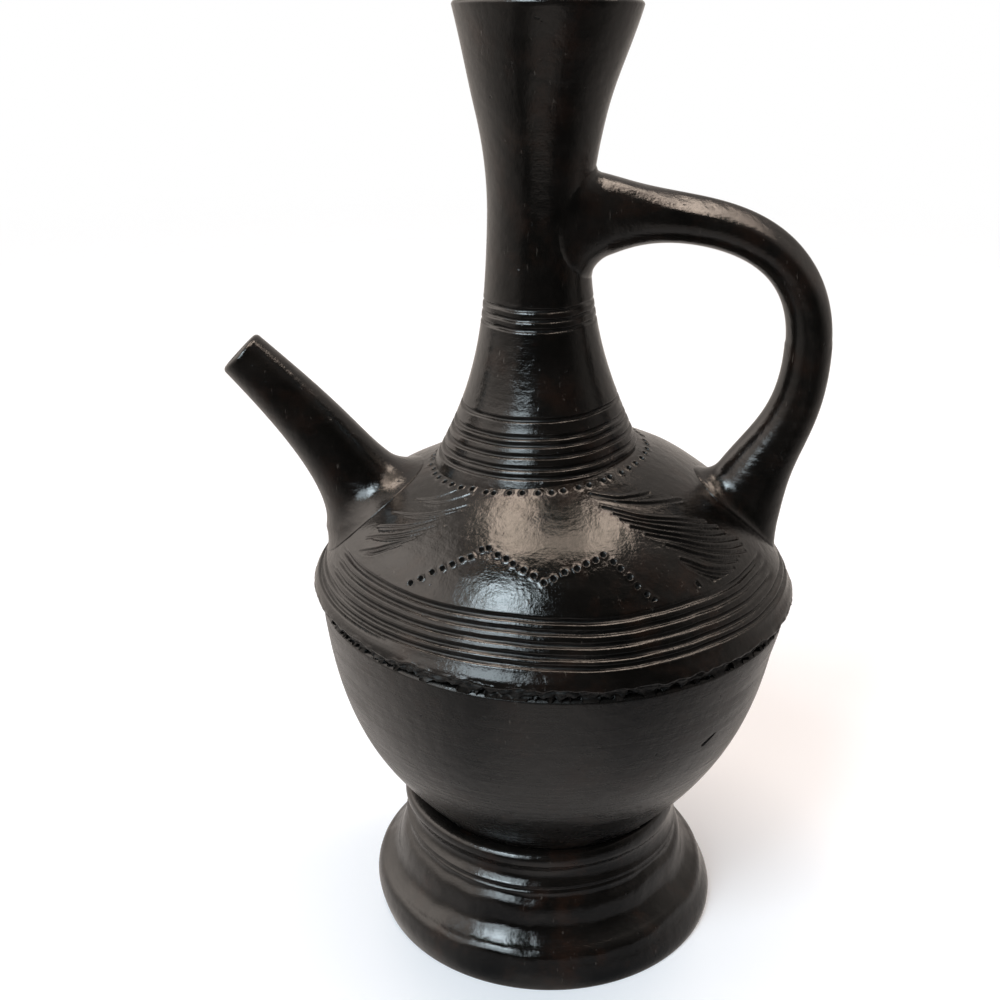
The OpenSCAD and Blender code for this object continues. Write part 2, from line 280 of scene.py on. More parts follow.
def hand_built(pot):
    """Gives the move from a true point to where hand building put it. Touching pieces stray together."""
    noise.seed_set(HAND)
    wobble, heights = size("hand_wobble"), [s[0] for s in STRAYS]

    def pot_stray(p):
        k = step_at(heights, p.z)[0]
        a, b = STRAYS[k - 1], STRAYS[k]
        t = smooth(a[0], b[0], p.z)
        dx, dz, tilt = (x + (y - x) * t for x, y in zip(a[1:], b[1:]))
        # The roots beside the neck don't tilt
        if p.z > 112:
            tilt *= 1 - smooth(30, 46, abs(p.x))
        # The ledge bulges a little more on the handle's side
        dx += 1.1 * smooth(20, 66, p.x) * smooth(92, 104, p.z) * (1 - smooth(112, 126, p.z))
        # The mouth is tilted, with its front higher
        dz -= 0.06 * p.y * smooth(235, 262, p.z)
        return dx, dz + tilt * p.x, smooth(40, 62, p.z)

    def stand_stray(p):
        # The stand leans a little towards the spout, with its rim higher there. The seat stays true
        free = smooth(37.6, 41.5, hypot(p.x, p.y))
        lean = free * smooth(0, 10, p.z)
        pressed = 0.9 * exp(-((p.z - 24.5) / 4) ** 2) - 1.5 * exp(-((p.z - 31.5) / 3) ** 2)
        dx = (pressed * smooth(8, 38, -p.x) - 1.9 - 0.4 * smooth(28, 36, p.z)) * lean
        return dx, -0.03 * lean * smooth(12, 38, p.z) * p.x, smooth(1, 6, p.z) * free

    def moved(p):
        dx, dz, share = pot_stray(p) if pot else stand_stray(p)
        return p + Vector((dx, 0, dz)) + wobble * share * noise.noise_vector(p / WOBBLE_MM)
    return moved


# Meshes

def faced(bm):
    """Turns the faces outwards."""
    bmesh.ops.recalc_face_normals(bm, faces=bm.faces)
    bm.normal_update()
    return bm


def spun(outside, inside, steps, shift=0.0, closed=True):
    """A shell turned from an outline, outside first."""
    bm = bmesh.new()
    mark = bm.verts.layers.int.new("outside")
    ring = []
    for i, p in enumerate(outside + inside):
        v = bm.verts.new((0, -p.x, p.y))
        v[mark] = i < len(outside)
        ring.append(v)
    edges = [bm.edges.new(pair) for pair in zip(ring, ring[1:])]
    if closed:
        edges.append(bm.edges.new((ring[-1], ring[0])))
    bmesh.ops.spin(bm, geom=ring + edges, cent=(0, 0, 0), axis=(0, 0, 1), angle=tau, steps=steps, use_merge=True)
    bmesh.ops.remove_doubles(bm, verts=bm.verts, dist=MERGE)
    bmesh.ops.translate(bm, verts=bm.verts, vec=(-shift, 0, 0))
    return faced(bm)


def rolled(around, along, place, ring=False, outside=0):
    """A grid rolled into a tube: place gives a point for a share round it and a share along it."""
    bm = bmesh.new()
    mark = bm.verts.layers.int.new("outside")
    bmesh.ops.create_grid(bm, x_segments=around, y_segments=along, size=0.5)
    for v in bm.verts:
        v[mark] = (v.co.y + 0.5) * along < outside - 0.5
        v.co = place((v.co.x + 0.5) % 1.0 if abs(v.co.x) < 0.4999 else 0.0, v.co.y + 0.5)
    bmesh.ops.remove_doubles(bm, verts=bm.verts, dist=MERGE)
    if not ring:
        bmesh.ops.holes_fill(bm, edges=[e for e in bm.edges if e.is_boundary], sides=0)
    return faced(bm)


def split(bm, wanted):
    """Splits the edges whose middle is wanted, for finer faces there."""
    edges = [e for e in bm.edges if wanted((e.verts[0].co + e.verts[1].co) / 2, e.verts[0].normal)]
    bmesh.ops.subdivide_edges(bm, edges=edges, cuts=1, use_grid_fill=True)
    bm.normal_update()


def press(bm, depth_at):
    """Presses the outside in along its normals. What was pressed stays known to the clay as an attribute, which dulls
    the gloss there and darkens the colour as painted shade.
    """
    mark = bm.verts.layers.int["outside"]
    scored = bm.verts.layers.float.new("scored")
    moves = []
    for v in bm.verts:
        if v[mark]:
            depth, share = depth_at(v.co)
            v[scored] = share
            if depth:
                moves.append((v, v.normal * depth))
    for v, move in moves:
        v.co -= move


def slide(bm, path, low, high, wander, shift=0.0):
    """Slides the outside along its outline between two heights, so that drawn lines wander."""
    mark = bm.verts.layers.int["outside"]
    heights = [p.y for p in path]
    for v in bm.verts:
        z = v.co.z
        if v[mark] and low < z < high:
            k = step_at(heights, z)[0]
            d = (path[k] - path[k - 1]).normalized()
            across = Vector((v.co.x + shift, v.co.y, 0)).normalized()
            part = smooth(low, low + 2, z) * (1 - smooth(high - 2, high, z))
            v.co += (across * d.x + Vector((0, 0, d.y))) * wander(across) * part


def put(bm, name, skin):
    """Puts a finished mesh into the scene, in one material."""
    mesh = bpy.data.meshes.new(name)
    bm.to_mesh(mesh)
    bm.free()
    mesh.materials.append(skin)
    piece = bpy.data.objects.new(name, mesh)
    bpy.context.collection.objects.link(piece)
    return piece


def finish(bm, name, node, body, clay):
    """Strays the piece by hand, scales it to metres and puts it in its node's place."""
    moved = hand_built(body == "pot")
    for v in bm.verts:
        v.co = moved(v.co)
    bmesh.ops.scale(bm, vec=(MM, MM, MM), verts=bm.verts)
    bmesh.ops.recalc_face_normals(bm, faces=bm.faces)
    if any(not e.is_manifold for e in bm.edges):
        raise RuntimeError(f"{name} is not closed")
    piece = put(bm, name, clay)
    piece.data.shade_smooth()
    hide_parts(node)
    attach(piece, body)


# Clay

def add(tree, kind, inputs, **settings):
    """Adds a node with its settings, and feeds its inputs with values or other nodes' sockets."""
    made = tree.nodes.new(kind)
    for key, value in settings.items():
        setattr(made, key, value)
    for key, value in inputs.items():
        if isinstance(value, NodeSocket):
            tree.links.new(value, made.inputs[key])
        else:
            made.inputs[key].default_value = value
    return made


def bare(owner):
    """The emptied node tree of a material or a world."""
    owner.use_nodes = True
    owner.node_tree.nodes.clear()
    return owner.node_tree


def per(mm):
    """A pattern's scale from its size in millimetres."""
    return 1 / (mm * MM)


def fired_clay(name, main, brown_share, gloss, streak_mm, streak_depth_mm):
    """Black-fired clay, rubbed with a stone while leather hard.

    Smoke gives a warm black with greyer clouds and some iron brown. Rubbing leaves level streaks, which break
    the highlights, and a gloss that changes from stroke to stroke. Small pits break it too, and use leaves
    short, pale scuffs. Punched and torn places stay raw and dull; they and the pits get a blacker colour, which is
    painted shade of those hollows.
    """
    clay = bpy.data.materials.get(name)
    if clay:
        return clay
    clay = bpy.data.materials.new(name)
    tree = bare(clay)
    at = add(tree, "ShaderNodeTexCoord", {}).outputs["Object"]
    scored = add(tree, "ShaderNodeAttribute", {}, attribute_name="scored").outputs["Fac"]
    # Patterns by their size in millimetres. The grain of the clay is finer, and drawn as coarse as it shows
    pattern = {}
    for key, mm, detail, roughness in (("cloud", 24, 6.0, 0.68), ("blotch", 13, 5.0, 0.65), ("dent", 3.6, 3.0, 0.5),
                                       ("speck", 2.4, 2.0, 0.5), ("grain", 0.6, 4.0, 0.6)):
        pattern[key] = add(tree, "ShaderNodeTexNoise", {
            "Vector": at, "Scale": per(mm), "Detail": detail, "Roughness": roughness}).outputs["Fac"]
    # Level streaks and slanting scuffs, by their size along each axis
    for key, turn, drawn, detail, roughness in (
            ("streak", (0, 0, 0), (streak_mm, streak_mm, 1.3), 4.0, 0.62),
            ("scuff", (0.4, 0.5, 0), (0.8, 0.8, 4.5), 2.0, 0.6)):
        way = add(tree, "ShaderNodeMapping", {"Vector": at, "Rotation": turn, "Scale": [per(mm) for mm in drawn]})
        pattern[key] = add(tree, "ShaderNodeTexNoise", {
            "Vector": way.outputs[0], "Scale": 1.0, "Detail": detail, "Roughness": roughness}).outputs["Fac"]
    # What shows of them: a low and a high value of a pattern, and the least and the most of its effect
    share = {}
    for key, source, low, high, least, most in (
            ("cloud", "cloud", 0.42, 0.68, 0, 1), ("brown", "blotch", 0.52, 0.72, 0, brown_share),
            ("pit", "speck", 0.73, 0.79, 0, 1), ("scuff", "scuff", 0.66, 0.76, 0, 1),
            ("worn", "blotch", 0.48, 0.62, 0.04, 0.5), ("rubbed", "streak", 0.3, 0.7, gloss - 0.06, gloss + 0.08),
            ("dull", "blotch", 0.4, 0.75, -0.03, 0.1)):
        share[key] = add(tree, "ShaderNodeMapRange", {
            "Value": pattern[source], "From Min": low, "From Max": high, "To Min": least, "To Max": most}).outputs[0]
    # Pressed hollows and pits: duller clay, and a blacker colour there that is painted shade
    raw_and_shade = add(tree, "ShaderNodeMath", {0: scored, 1: share["pit"]}, operation="MAXIMUM").outputs[0]
    worn = add(tree, "ShaderNodeMath", {0: share["scuff"], 1: share["worn"]}, operation="MULTIPLY").outputs[0]
    # Colour: black, greyer in clouds, browner in blotches, blacker in the pressed hollows and pits as painted shade,
    # paler where scuffed
    base = paint(main)
    for part, tone in ((share["cloud"], "grey"), (share["brown"], "brown"), (raw_and_shade, "raw_and_shade"), (worn, "scuff")):
        base = add(tree, "ShaderNodeMix", {"Factor": part, "A": base, "B": paint(tone)},
                   data_type="RGBA").outputs["Result"]
    # Gloss: changes with the strokes and the blotches, and is lost where raw
    rough = add(tree, "ShaderNodeMath", {0: share["rubbed"], 1: share["dull"]}, operation="ADD").outputs[0]
    rough = add(tree, "ShaderNodeMath", {0: raw_and_shade, 1: 0.4, 2: rough}, operation="MULTIPLY_ADD").outputs[0]
    # Relief, in millimetres: soft dents of the hand, level strokes, pits, fine grain
    normal = {}
    for height, depth, sunk in ((pattern["dent"], 0.18, False), (pattern["streak"], streak_depth_mm, False),
                                (share["pit"], 0.08, True), (pattern["grain"], 0.055, False)):
        relief = add(tree, "ShaderNodeBump", {"Height": height, "Distance": depth * MM, "Strength": 1.0, **normal},
                     invert=sunk)
        normal = {"Normal": relief.outputs[0]}
    skin = add(tree, "ShaderNodeBsdfPrincipled", {"Base Color": base, "Roughness": rough, "IOR": 1.55, **normal})
    add(tree, "ShaderNodeOutputMaterial", {"Surface": skin.outputs[0]})
    return clay


# The clays: name, main colour, share of brown, roughness, and length and depth of a streak in millimetres.
# Rubbed until it shines: nearly black, with a clear gloss
BURNISHED = ("Burnished black clay", "black", 0.45, 0.105, 16, 0.055)
# As glossy, and browner, because the smoke took less on the stand
BROWNER = ("Burnished brown-black clay", "black", 0.9, 0.11, 16, 0.055)
# Rubbed less: a soft sheen with longer, deeper streaks
SATIN = ("Satin black clay", "satin", 0.4, 0.25, 26, 0.08)


# Pieces

class JEBENA_OT_ring_stand(Operator):
    """Builds the flared ring in which the pot stands"""
    bl_idname = "jebena.ring_stand"
    bl_label = "Ring stand"

    def execute(self, context):
        foot, rim, top = size("foot_r"), size("rim_r"), size("stand_h")
        band_h, band_in, bead_h, waist_h, groove_d, wall = 12, 3, 4.0, 6.5, 0.7, 6
        waist_top, ridge = top - bead_h, rim + groove_d
        waist_low = waist_top - waist_h
        band = cubic([(foot - 0.8, 0), (foot + 0.56, 3.6), (foot - 0.6, 8.4), (foot - band_in, band_h)])
        flare = arch((foot - band_in - groove_d, band_h + groove_d), (ridge + 0.35, waist_low - 1.82),
                     (0.42, 0.3), (0.27, 0.44))
        ridge_groove = Vector((ridge - groove_d, waist_low - 1.05))
        waist = cubic([(ridge, waist_low), (rim - 1.56, waist_low + 1.95), (rim - 1.56, waist_low + 4.55),
                       (rim, waist_top)])
        seat_r, lip_half, lip_gap = 36.6, radians(1.6), 0.03
        seat = asin(seat_r / BOTTOM_R)
        # The pot's weight closes the seat
        lip = axis_arc(BOTTOM_Z, BOTTOM_R + lip_gap, seat + lip_half, seat - lip_half, 8)
        crest = cubic([(rim, waist_top), (rim + 0.72, top - 1.6), (rim - 0.4, top), (lip[0].x + 0.48, top)])
        hollow = arch((rim - wall, waist_low), (foot - wall, 0), (-0.07, 0.18), (0.6, 0.64))
        outside = spaced(band + flare + [ridge_groove] + waist + crest[1:], 0.5)
        bm = spun(outside, lip + spaced(hollow, 2.5), ROUND_STEPS)
        # Hollows over the foot band's uneven edge and under the ridge: depth, height, reach
        hollows = ((1.2, 16.6, 3.3), (-0.4, 10.8, 1.7), (0.9, 25.2, 1.7))

        def turned(p):
            way = round_axis(p)
            z = p.z + 1.1 * noise.noise(way * 2.7) + 0.5 * noise.noise(way * 8)
            return sum(depth * exp(-((z - height) / reach) ** 2) for depth, height, reach in hollows), 0
        press(bm, turned)
        finish(bm, "stand_ring", "ring_stand", "stand", fired_clay(*BROWNER))
        return {"FINISHED"}


class JEBENA_OT_lower_bowl(Operator):
    """Builds the round-bottomed bowl"""
    bl_idname = "jebena.lower_bowl"
    bl_label = "Lower bowl"

    def execute(self, context):
        seam, round_r = size("seam_z"), 37.4
        turn = asin(round_r / BOTTOM_R)
        start = Vector((round_r, BOTTOM_Z - BOTTOM_R * cos(turn)))
        end, rise = Vector((size("bowl_r"), seam)), seam - start.y
        flank = cubic([start, start + 0.31 * rise * Vector((cos(turn), sin(turn))),
                       end - Vector((0.1 * (end.x - start.x), 0.55 * rise)), end], 200)
        outer = axis_arc(BOTTOM_Z, BOTTOM_R, 0, turn) + flank[1:]
        inner = [p for p in reversed(spaced(inset(outer, WALL), 3)) if p.y < seam - 1 and p.x > 0.5]
        inner = [Vector((end.x - WALL, seam))] + inner + [Vector((0, BOTTOM_Z - BOTTOM_R + WALL))]
        bm = spun(spaced(outer, 0.9), inner, ROUND_STEPS, closed=False)
        # One short slit under the ledge
        slit_half, slit_depth = 0.7, 1.1
        slit = [at_bearing(b, 61.7, z) for b, z in ((41.2, 81.1), (44.9, 83.6))]

        def from_slit(p):
            along = slit[1] - slit[0]
            t = min(max((p - slit[0]).dot(along) / along.length_squared, 0), 1)
            return (p - slit[0] - along * t).length

        def marks(p):
            q = from_slit(p) / slit_half
            return slit_depth * (1 - smooth(0.2, 1, q)), 1 - smooth(0.6, 1.1, q)
        for reach in (3.5, 2.2, 1.4):
            split(bm, lambda p, out: from_slit(p) < reach)
        press(bm, marks)
        finish(bm, "round_bowl", "lower_bowl", "pot", fired_clay(*SATIN))
        return {"FINISHED"}


# Heights of the combed lines over the seam, spaced by hand
COMB_LINES = (9.0, 11.1, 13.6, 16.1, 18.4)
LINE_PITCH = 2.5
# Zigzag of dots on the front of the dome: bearing and radius of each corner
ZIGZAG = ((-38.1, 56.6), (-19.1, 46.2), (-1.9, 52.6), (16.5, 47.4), (28.9, 59.2))
DOT_PITCH = 2.75
# Strokes dragged with a comb over the dome, each from bearing and radius to bearing and radius
STROKES = (
    (-47.3, 33.7, -61.1, 41.0), (-39.1, 33.5, -57.4, 40.6), (-36.4, 36.7, -63.1, 47.0), (-38.1, 38.7, -58.6, 46.4),
    (-41.6, 41.1, -62.8, 51.4), (-44.6, 43.1, -61.1, 51.4), (-42.6, 44.4, -64.0, 54.5), (-45.0, 47.4, -60.6, 53.6),
    (-46.1, 48.8, -62.4, 57.0), (-49.0, 51.5, -60.4, 56.8),
    (18.6, 31.1, 46.0, 35.6), (19.0, 31.8, 57.2, 40.7), (21.9, 35.7, 58.9, 47.1), (25.2, 38.2, 62.1, 49.4),
    (26.6, 40.0, 63.6, 51.3), (28.8, 42.5, 66.8, 53.7), (32.5, 45.1, 66.7, 55.2), (34.3, 46.1, 66.1, 56.4),
    (37.1, 48.6, 61.3, 56.2), (40.4, 50.0, 59.4, 56.6), (39.2, 52.0, 56.4, 57.1), (39.5, 52.7, 54.6, 57.6),
    (40.3, 53.5, 52.3, 58.0), (44.3, 55.4, 52.4, 59.0), (40.8, 56.5, 42.9, 58.9),
)
STROKE_STEP = 0.3
LIGHT_HAND = 0.6  # the strokes on the spout's side were pressed less


def dome_marks(neck_dots):
    """The points marked on the dome, each with its stroke's strength, or None for a dot."""
    noise.seed_set(HAND)
    dome, shift = Turned(dome_path(), upright=False), size("neck_shift")

    def on_dome(bearing, r):
        return at_bearing(bearing, r, dome.path[step_at(dome.keys, r)[0]].y)

    marks = []
    for (b0, r0), (b1, r1) in zip(ZIGZAG, ZIGZAG[1:]):
        count = round((on_dome(b1, r1) - on_dome(b0, r0)).length / DOT_PITCH)
        for i in range(count):
            t = i / count
            stray = noise.noise_vector(Vector((b0 + 3 * i, r0, 0.5)))
            marks.append((on_dome(b0 + (b1 - b0) * t + 0.8 * stray.x, r0 + (r1 - r0) * t + 0.7 * stray.y), None))
    for i in range(neck_dots):
        stray = noise.noise_vector(Vector((i * 1.7, 3.3, 0.2)))
        a = radians(360 * (i + 0.4 * stray.x) / neck_dots)
        r = size("collar_r") + 1.4 + 0.6 * stray.y
        x, y = r * sin(a) - shift, -r * cos(a)
        marks.append((on_dome(degrees(atan2(x, -y)), hypot(x, y)), None))
    for b0, r0, b1, r1 in STROKES:
        steps = max(4, round((on_dome(b1, r1) - on_dome(b0, r0)).length / STROKE_STEP))
        for i in range(steps + 1):
            t = i / steps
            bend = 0.9 * sin(pi * t) + 0.2 * noise.noise(Vector((t * 4, r0, b0)))
            strength = 0.35 + 0.65 * sin(pi * min(1, 0.12 + 0.88 * t)) ** 0.6
            marks.append((on_dome(b0 + (b1 - b0) * t, r0 + (r1 - r0) * t + bend),
                          strength * (1 if b0 > 0 else LIGHT_HAND)))
    return marks


class JEBENA_OT_shoulder(Operator):
    """Builds the domed shoulder with its combed lines, dots and ragged seam"""
    bl_idname = "jebena.shoulder"
    bl_label = "Shoulder"

    def execute(self, context):
        seam, seat, ledge_r, shift = size("seam_z"), size("seat_z"), size("ledge_r"), size("neck_shift")
        dome = dome_path()
        ledge = cubic([(ledge_r - 1.29, seam), (ledge_r + 0.2, seam + 2.72), (ledge_r + 0.61, seam + 4.76), dome[0]])
        lines, half = [seam + z for z in COMB_LINES], 0.8
        low = [p for p in dome if p.y < seam + 20]
        high = dome[len(low) - 1:]
        outside = spaced(ledge, 0.45)[:-1] + lined(low, lines, half, 0.8)[1:] + spaced(high, 0.9)
        ceiling = seat - WALL
        inner = [p for p in reversed(spaced(inset(dome, WALL), 3)) if p.y < ceiling]
        inside = [Vector((BORE_R, seat)), Vector((BORE_R, ceiling)), Vector((DOME_TOP_R, ceiling))] + inner + [
            Vector((size("bowl_r") - WALL, seam))]
        outline, columns = outside + inside, 390

        def place(u, v):
            """A point of the outline, turned round the axis."""
            p, b = outline[round(v * len(outline)) % len(outline)], tau * u
            return Vector((p.x * sin(b), -p.x * cos(b), p.y))
        bm = rolled(columns, len(outline), place, ring=True, outside=len(outside))
        # The way through stands under the neck, off the axis
        for v in bm.verts:
            if v.co.z > ceiling - 0.1:
                v.co.x -= shift * (1 - smooth(BORE_R, DOME_TOP_R, hypot(v.co.x, v.co.y)))
        marks = dome_marks(context.scene.jebena_sizes.neck_dots)
        tree = kdtree.KDTree(len(marks))
        for i, (point, _) in enumerate(marks):
            tree.insert(point, i)
        tree.balance()

        def nearest(p):
            """The gap to the nearest mark, and its strength."""
            _, i, gap = tree.find(p)
            return gap, marks[i][1]

        def marked(p, dot_reach, stroke_reach):
            gap, strength = nearest(p)
            return gap < (dot_reach if strength is None else stroke_reach)
        for reach in ((1.9, 1.6), (1.25, 0.8)):
            split(bm, lambda p, out: p.z > lines[-1] + 1 and out.z > 0 and marked(p, *reach))
        split(bm, lambda p, out: p.z < seam + 5.6 and p.length > ledge_r + 15)
        comb, dot_r, dot_depth = size("comb_depth"), size("dot_d") / 2, size("dot_depth")
        stroke_r, stroke_depth = size("stroke_w") / 2, size("stroke_depth")

        def punched(q):
            """A dot at a share of its radius, with the clay that it pushed up."""
            rim = 0.13 * smooth(0.7, 1.1, q) * (1 - smooth(1.15, 1.9, q))
            return dot_depth * (1 - smooth(0.5, 1.05, q)) - rim, 1 - smooth(0.8, 1.2, q)

        def dragged(q, strength):
            """A stroke at a share of its half width, with its burr."""
            burr = 0.16 * smooth(0.6, 1.2, q) * (1 - smooth(1.2, 2.2, q))
            return strength * (stroke_depth * (1 - smooth(0.1, 1, q)) - burr), 0.5 * strength * (1 - smooth(0.4, 1, q))

        def combed(p, way):
            """The lines, smoothed away where the roots were rubbed on."""
            side = abs(degrees(atan2(p.x, -p.y)))
            rubbed = smooth(66, 74, side) * (1 - smooth(106, 114, side)) * smooth(seam + 11, seam + 13, p.z)
            share = groove(p.z, lines, half) * (1 - rubbed)
            share *= 0.9 + 0.45 * noise.noise(way * 5 + Vector((0, 0, round((p.z - lines[0]) / LINE_PITCH))))
            return comb * share, 0.5 * max(share, 0)

        def torn(p, way):
            """The seam, torn and pressed with the fingers below its ragged upper edge."""
            edge = seam + 3.9 + 0.8 * noise.noise(way * 7) + 0.7 * noise.noise(way * 24)
            below = 1 - smooth(edge - 0.3, edge + 0.1, p.z)
            burr = smooth(edge - 0.3, edge, p.z) * (1 - smooth(edge + 0.2, edge + 1.1, p.z))
            chew = noise.fractal(Vector((way.x * 30, way.y * 30, p.z / 1.4)), 0.9, 2.1, 4)
            return below * (1.3 + 0.9 * chew) - burr * (0.2 + 0.2 * noise.noise(way * 30)), below * (1 - 0.3 * chew)

        def pressed(p):
            if p.z > lines[-1] + 2:
                gap, strength = nearest(p)
                return punched(gap / dot_r) if strength is None else dragged(gap / stroke_r, strength)
            return combed(p, round_axis(p)) if p.z > lines[0] - 1.3 else torn(p, round_axis(p))
        press(bm, pressed)
        slide(bm, dome, lines[0] - 2, lines[-1] + 3,
              lambda out: 0.45 * noise.noise(out * 2.3) + 0.13 * noise.noise(out * 9))
        finish(bm, "combed_shoulder", "shoulder", "pot", fired_clay(*BURNISHED))
        return {"FINISHED"}


# Heights over the neck's seat of the lines turned round the collar and the tube
COLLAR_LINES = (0.3, 2.4, 5.2, 7.8, 9.7, 13.8)
TUBE_LINES = (36, 38.5, 41)


class JEBENA_OT_neck(Operator):
    """Builds the neck with its turned collar and flared mouth"""
    bl_idname = "jebena.neck"
    bl_label = "Neck"

    def execute(self, context):
        seat, mouth, mouth_r, shift = size("seat_z"), size("mouth_z"), size("mouth_r"), size("neck_shift")
        collar, funnel = neck_path()
        base, lip_r = seat - WALL, NECK_WALL / 2 - 0.25
        lip = [Vector((mouth_r - lip_r + lip_r * cos(a), mouth - LIP_H + LIP_H * sin(a)))
               for a in (pi * i / 10 for i in range(11))]
        foot = [Vector((collar[0].x + 0.8, base)), Vector((collar[0].x + 0.3, base + 2))]
        low, high = [seat + z for z in COLLAR_LINES], [seat + z for z in TUBE_LINES]
        half, depth = 0.75, size("turned_depth")
        outside = foot + lined(collar, low + high, half, 1.1) + spaced(funnel, 1.1)[1:-1]
        bore = spaced(inset(funnel, NECK_WALL), 2)[-2::-1]
        bore += [Vector((min(p.x, BORE_R), p.y)) for p in spaced(inset(collar, NECK_WALL), 2)[-2::-1]]
        bm = spun(outside + lip, bore + [Vector((BORE_R, base))], 192, shift=shift)

        def pressed(p):
            share = groove(p.z, low + high, half) * (0.8 if p.z > high[0] - 2 else 1)
            row = Vector((0, 0, round(p.z / LINE_PITCH)))
            share *= 0.95 + 0.4 * noise.noise(round_axis(p, shift) * 4 + row)
            return depth * share, 0.5 * max(share, 0)
        press(bm, pressed)
        for group in (low, high):
            slide(bm, collar, group[0] - 2, group[-1] + 2.5,
                  lambda out: 0.3 * noise.noise(out * 2 + Vector((0, 0, 9))), shift)
        finish(bm, "flared_neck", "neck", "pot", fired_clay(*BURNISHED))
        return {"FINISHED"}


def rooted(point, centre, surface, fillet, sunk=0.0):
    """A point of a bar, moved out where the bar runs into a surface, so that it ends in a round fillet.

    A fillet that is sunk ends a little under the surface, so that no edge of it shows.
    """
    gap, out = surface.off(point)
    if gap + sunk >= fillet:
        return point
    away = point - centre
    away = (away - out * away.dot(out)).normalized()
    short = fillet - max(gap + sunk, 0)
    moved = point + away * (fillet - sqrt(max(fillet ** 2 - short ** 2, 0)))
    now, out = surface.off(moved)
    return moved - out * (now - gap)


def leaves(bar, u, surface, inner, outer, height):
    """The share along a bar at which one of its sides comes to a height over a surface."""
    for _ in range(28):
        middle = (inner + outer) / 2
        inner, outer = (middle, outer) if surface.off(bar(u, middle)[0])[0] < height else (inner, middle)
    return outer


def heading(path, t):
    """Point and direction at a share of a path."""
    s = min(max(t, 0), 1) * (len(path) - 1)
    k = min(int(s), len(path) - 2)
    return path[k].lerp(path[k + 1], s - k), (path[min(k + 2, len(path) - 1)] - path[max(k - 1, 0)]).normalized()


def section(point, along, radius, side, u):
    """A point of an oval section across a bar that lies in the XZ plane."""
    a = tau * u
    return Vector((point.x - along.y * radius * cos(a), side * sin(a), point.y + along.x * radius * cos(a)))


def sunk_end(point, surface, share):
    """A root's last point, moved by a share into the surface that carries it."""
    return point - surface.off(point)[1] * (ROOT_SUNK * share)


class JEBENA_OT_spout(Operator):
    """Builds the hollow spout"""
    bl_idname = "jebena.spout"
    bl_label = "Spout"

    def execute(self, context):
        seam, fillet, edge = size("seam_z"), size("root_fillet"), size("luted_edge")
        tip_r, taper, spread, lip_r, root_bore = 6.8, 4.4, 4.4, 1.3, 6.0
        # Shares of the rows at which each stretch ends, and the inner end of the bore along the path
        skirt, out_end, lip_end, bore_end, bore_t = 0.03, 0.6, 0.68, 0.98, 0.1
        root, tip = Vector((-(size("bowl_r") - 21.8), seam + 14.7)), Vector((-85, seam + 67.4))
        run = (tip - root).length
        pull, low, high = 0.36 * run, radians(58), radians(45)
        path = interpolate_bezier(root, root + pull * Vector((-cos(low), sin(low))),
                                  tip - pull * Vector((-cos(high), sin(high))), tip, 200)
        round_t, dome, starts = 1 - lip_r / run, Turned(dome_path(), upright=False), {}

        def radius(t):
            return tip_r + taper * (1 - t)

        def bar(u, t):
            r, more = radius(t), spread * min(1, exp((0.2 - t) * 11))
            point, along = heading(path, t)
            return section(point, along, r + more, r + 0.7 * more, u), Vector((point.x, 0, point.y))

        def place(u, v):
            """Along the outside from the foot to the tip, over the lip, and back down the bore to the foot."""
            if u not in starts:
                starts[u] = leaves(bar, u, dome, 0.0, 0.7, edge)
            t0 = starts[u]
            # The last row closes on the first
            if v <= out_end or v > 0.9999:
                s = v / out_end if v <= out_end else 0
                if s < skirt:
                    return sunk_end(rooted(*bar(u, t0), dome, fillet), dome, 1 - s / skirt)
                t = t0 + (round_t - t0) * ((s - skirt) / (1 - skirt)) ** 1.5
                return rooted(*bar(u, t), dome, fillet)
            if v < lip_end:
                a = pi * (v - out_end) / (lip_end - out_end)
                point, along = heading(path, round_t)
                r = radius(round_t) - lip_r + lip_r * cos(a)
                return section(point + along * lip_r * sin(a), along, r, r, u)
            if v > bore_end:
                return section(*heading(path, bore_t), root_bore, root_bore, u)
            t = round_t + (bore_t - round_t) * (v - lip_end) / (bore_end - lip_end)
            r = radius(t) - 2 * lip_r
            return section(*heading(path, t), r, r, u)
        bm = rolled(64, 150, place, ring=True)
        finish(bm, "pouring_spout", "spout", "pot", fired_clay(*BURNISHED))
        return {"FINISHED"}


